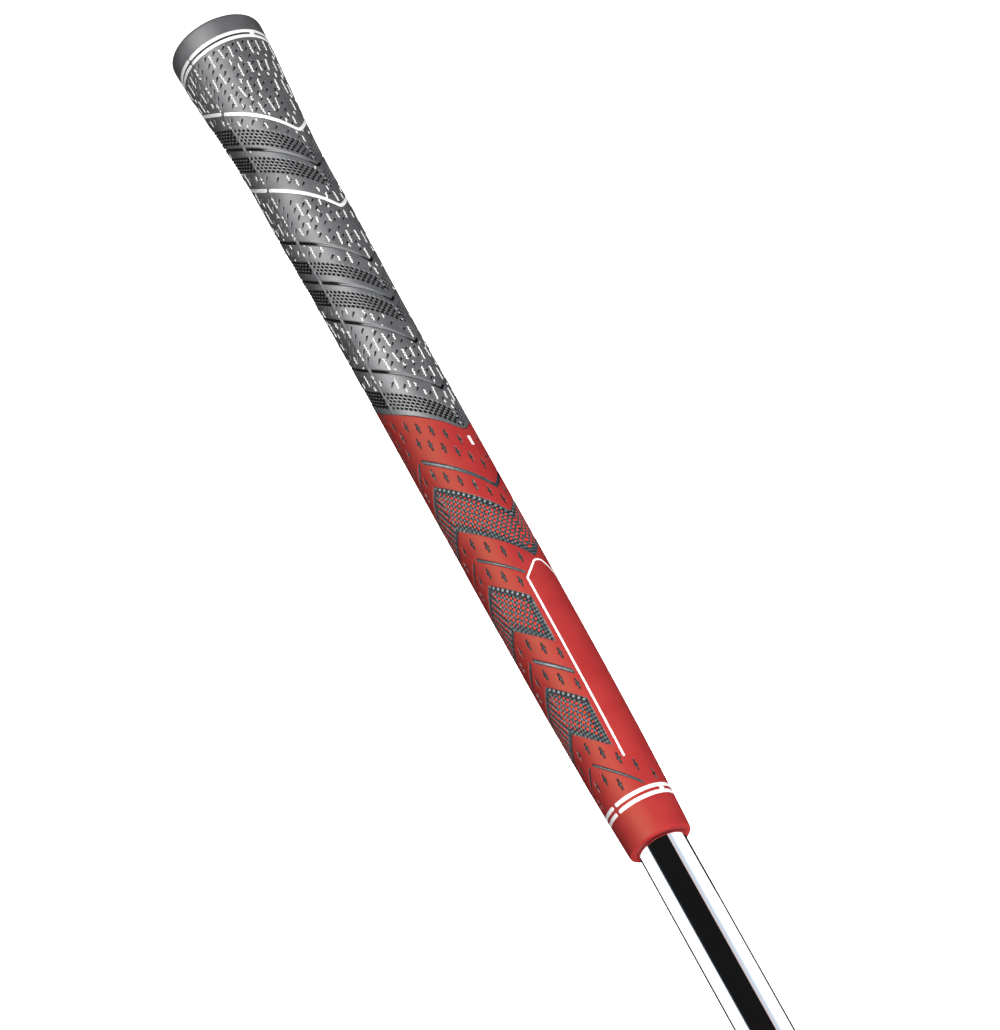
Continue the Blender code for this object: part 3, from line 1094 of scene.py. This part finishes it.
def world():
    """White behind the part, a weak fill on it, and nearly nothing in its reflections."""
    made = bpy.data.worlds.new("studio")
    bpy.context.scene.world = made
    made.use_nodes = True
    tree = made.node_tree
    tree.nodes.clear()
    path = tree.nodes.new("ShaderNodeLightPath")
    fill, bright, dark = (tree.nodes.new("ShaderNodeBackground") for _ in range(3))
    for node, strength in ((fill, 0.22), (bright, 1.6), (dark, 0.04)):
        node.inputs["Color"].default_value = (*WHITE, 1.0)
        node.inputs["Strength"].default_value = strength
    first, second = tree.nodes.new("ShaderNodeMixShader"), tree.nodes.new("ShaderNodeMixShader")
    out = tree.nodes.new("ShaderNodeOutputWorld")
    link = tree.links.new
    link(path.outputs["Is Camera Ray"], first.inputs[0])
    link(fill.outputs[0], first.inputs[1])
    link(bright.outputs[0], first.inputs[2])
    link(path.outputs["Is Glossy Ray"], second.inputs[0])
    link(first.outputs[0], second.inputs[1])
    link(dark.outputs[0], second.inputs[2])
    link(second.outputs[0], out.inputs["Surface"])


def stage(plated, rubber):
    """The floor, the world, the cards that the shaft mirrors, and four softboxes."""
    floor()
    world()
    facing = CAMERA_AZIMUTH
    for name, start, end, colour, strength in (
        ("white_card_right", -139.0, -64.0, WHITE, 1.3),
        ("blue_card", -64.0, -52.0, (0.66, 0.80, 0.94), 1.0),
        ("pink_card", -52.0, -44.0, (0.80, 0.66, 0.66), 1.0),
        ("dark_card", -44.0, 54.0, (1.0, 0.96, 0.98), 0.010),
        ("slate_card", 54.0, 60.0, (0.05, 0.08, 0.11), 1.0),
        ("white_card_left", 60.0, 138.0, WHITE, 1.3),
        ("back_card", 138.0, 221.0, WHITE, 0.006),
    ):
        card(name, (facing + start, facing + end), colour, strength, plated)
    # A tapering dark card just inside the white one, for a dark line along one edge of the shaft
    edge = (facing - 140.0, facing - 112.0)
    card("edge_card", edge, WHITE, 0.006, plated, 425.0, (40.0, 160.0), 24.0)
    key = area_light("key", -13.0, 32.0, 1.3, (0.5, 0.5), 26.0)
    key.visible_glossy = False
    for name, off_camera in (("rim_left", 152.0), ("rim_right", -152.0)):
        rim = area_light(name, off_camera, 22.0, 1.2, (0.5, 0.6), 11.0)
        rim.visible_glossy = False
    sheen = area_light("sheen", 22.0, -12.0, 0.6, (0.5, 0.5), 15.5)
    sheen.visible_diffuse = False
    sheen.light_linking.receiver_collection = rubber


def camera():
    """A long lens beyond the mouth's side, looking down at the grip and rolled over."""
    lens, across, up = 120.6, 0.8142, 0.5505
    yaw, pitch, roll, last_yaw = -0.0060, -0.4376, -0.5113, -0.0003
    a = math.radians(CAMERA_AZIMUTH)
    right = Vector((-math.cos(a), -math.sin(a), 0.0))
    down = Vector((0.0, 0.0, 1.0))
    forward = Vector((-math.sin(a), math.cos(a), 0.0))
    level = Matrix((right, down, forward))
    turn = Matrix.Rotation(roll, 3, "Z") @ Matrix.Rotation(pitch, 3, "X") @ Matrix.Rotation(yaw, 3, "Y")
    turn = Matrix.Rotation(last_yaw, 3, "Y") @ turn
    right, down, forward = (turn @ level).row
    data = bpy.data.cameras.new("camera")
    data.lens = lens
    data.sensor_width = 36.0
    data.clip_start, data.clip_end = 0.05, 50.0
    made = add_object("camera", data)
    axes = Matrix((right, -Vector(down), -Vector(forward))).transposed()
    place_at = Matrix.Translation((across * math.sin(a), -across * math.cos(a), up))
    made.matrix_world = place_at @ axes.to_4x4()
    bpy.context.scene.camera = made


# ---- assembly


def main():
    """Every piece and its material."""
    grey, pit = corded_rubber("corded_rubber", 0.6), corded_rubber("corded_rubber_pit", 0.08)
    white, thread = paint_white(), cotton()
    red = red_rubber("red_rubber", 0.14, 0.56, (1.0, 0.85, 0.4))
    core = red_rubber("bared_core", 0.8, 0.35, WHITE)
    shade = red_rubber("bared_core_pit", 0.22, 0.5, WHITE)
    cap_rubber = plain_rubber("cap_rubber", (0.10, 0.102, 0.11), (0.14, 0.142, 0.152), 0.5)
    pocket = [CAP_POCKET, (CAP_POCKET[0], 0.0)]
    undercut = [(UNDERCUT_RADIUS, None)]
    lip = [(7.4, GRIP_LENGTH), (LIP_RADIUS + 0.08, GRIP_LENGTH), (LIP_RADIUS, GRIP_LENGTH - 0.1)]
    lip.append((LIP_RADIUS, GRIP_LENGTH - LIP_DEPTH))
    for side, middle in (("front", 0.0), ("back", 180.0)):
        skin = upper_skin(middle)
        upper = skin_object(f"corded_skin_{side}", skin, [grey, pit], pocket, undercut)
        adopt(upper, "corded_rubber", f"upper_panel_{side}")
        skin = lower_skin(middle)
        lower = skin_object(f"red_skin_{side}", skin, [red, shade, core], undercut, lip)
        adopt(lower, "red_rubber", f"lower_panel_{side}")
        paint = [chevron_strip(line, middle) for line in CHEVRONS]
        paint += ring_strips(BUTT_RINGS, middle, 0.25) + ring_strips(MOUTH_RINGS, middle, 0.45)
        if middle == 0.0:
            paint.append(outline_strip())
            paint.append(ribbon(MARKER, MARKER_HALF_WIDTH, 0.03, PAINT_SINK, step=0.1))
        adopt(ribbons_object(f"paint_{side}", paint, white), "paint_white")
        threads = ribbons_object(f"cord_threads_{side}", cotton_strips(middle), thread)
        adopt(threads, "cotton_cord", f"cord_ply_{side}")
    butt_cap(cap_rubber)
    shaft(chrome())
    dark = plain_rubber("core_rubber", (0.03, 0.05, 0.053), (0.05, 0.08, 0.083), 0.7)
    for node, material in (("core_sleeve", dark), ("grip_tape", tape_paper())):
        frame["nodes"][node].data.materials.clear()
        frame["nodes"][node].data.materials.append(material)


bpy.context.scene.view_settings.view_transform = "Standard"
camera()
main()
plated, rubber = bpy.data.collections.new("plated"), bpy.data.collections.new("rubber")
for piece in [o for o in bpy.data.objects if o.type == "MESH"]:
    (plated if piece.name == "plated_shaft" else rubber).objects.link(piece)
stage(plated, rubber)
